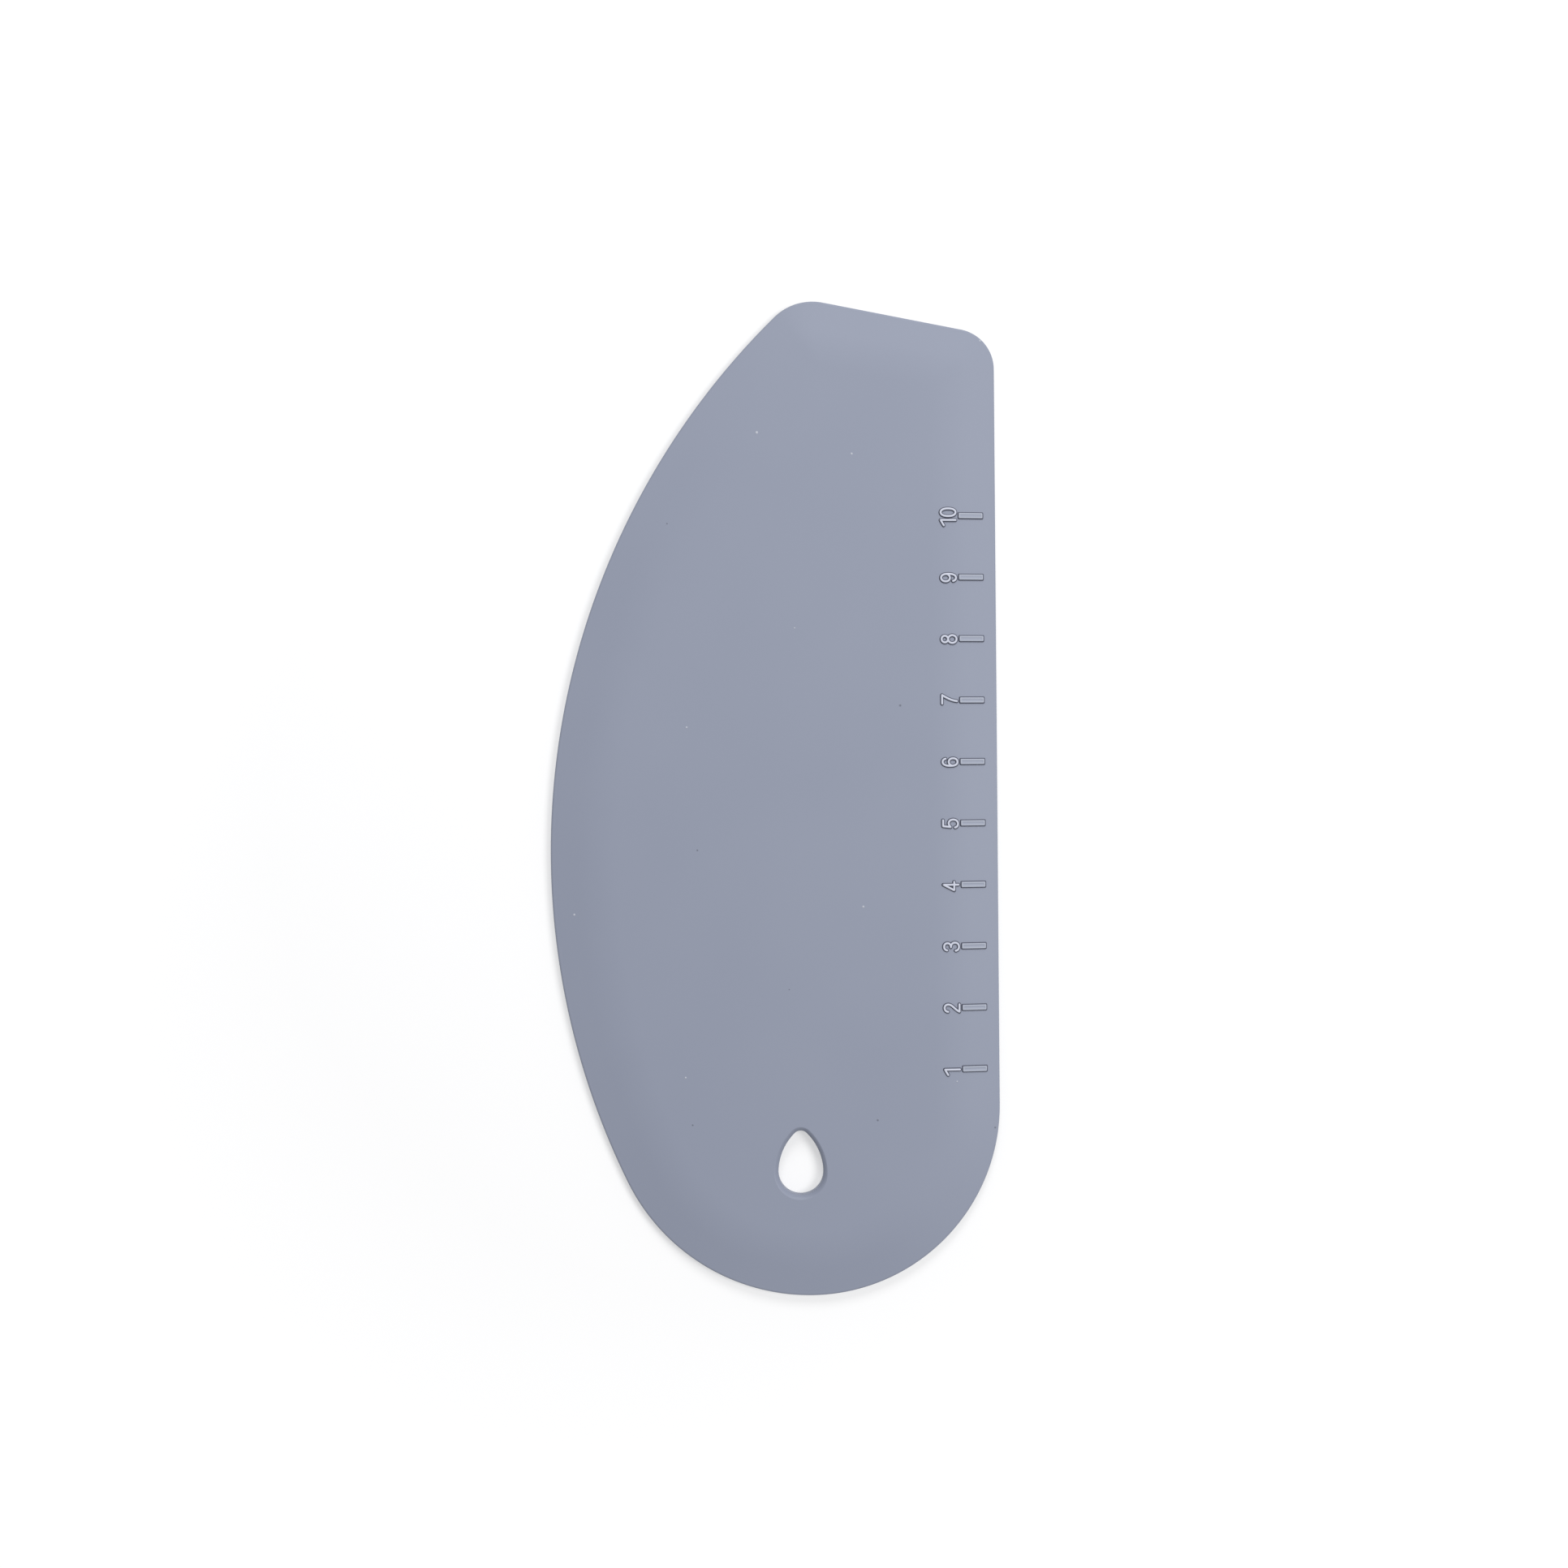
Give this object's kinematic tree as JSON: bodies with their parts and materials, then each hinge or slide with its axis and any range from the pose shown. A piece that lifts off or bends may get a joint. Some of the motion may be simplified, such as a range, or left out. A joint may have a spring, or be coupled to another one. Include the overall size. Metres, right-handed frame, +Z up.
{
  "type": "bowl scraper",
  "caption": "Flat bowl scraper with a straight edge, a long curved edge, thin tapered lips, raised ruler marks and an egg-shaped hang hole.",
  "frame": {"origin": "middle of the blade's bounding box, at the lowest face, which is the flat back that the scraper lies on", "axes": "+X across the blade from the curved side to the straight edge, +Y along the blade from the rounded foot to the slanted top, +Z up out of the face that carries the ruler marks"},
  "size_m": [0.0788, 0.1752, 0.0032],
  "materials": {
    "silicone": "satin moulded silicone, blue-grey, with a fine matt grain",
    "steel": "cold-rolled spring stainless sheet, hidden inside the silicone"
  },
  "bodies": {
    "root": {"front_skin": "silicone", "core_plate": "steel", "back_skin": "silicone"}
  },
  "joints": []
}
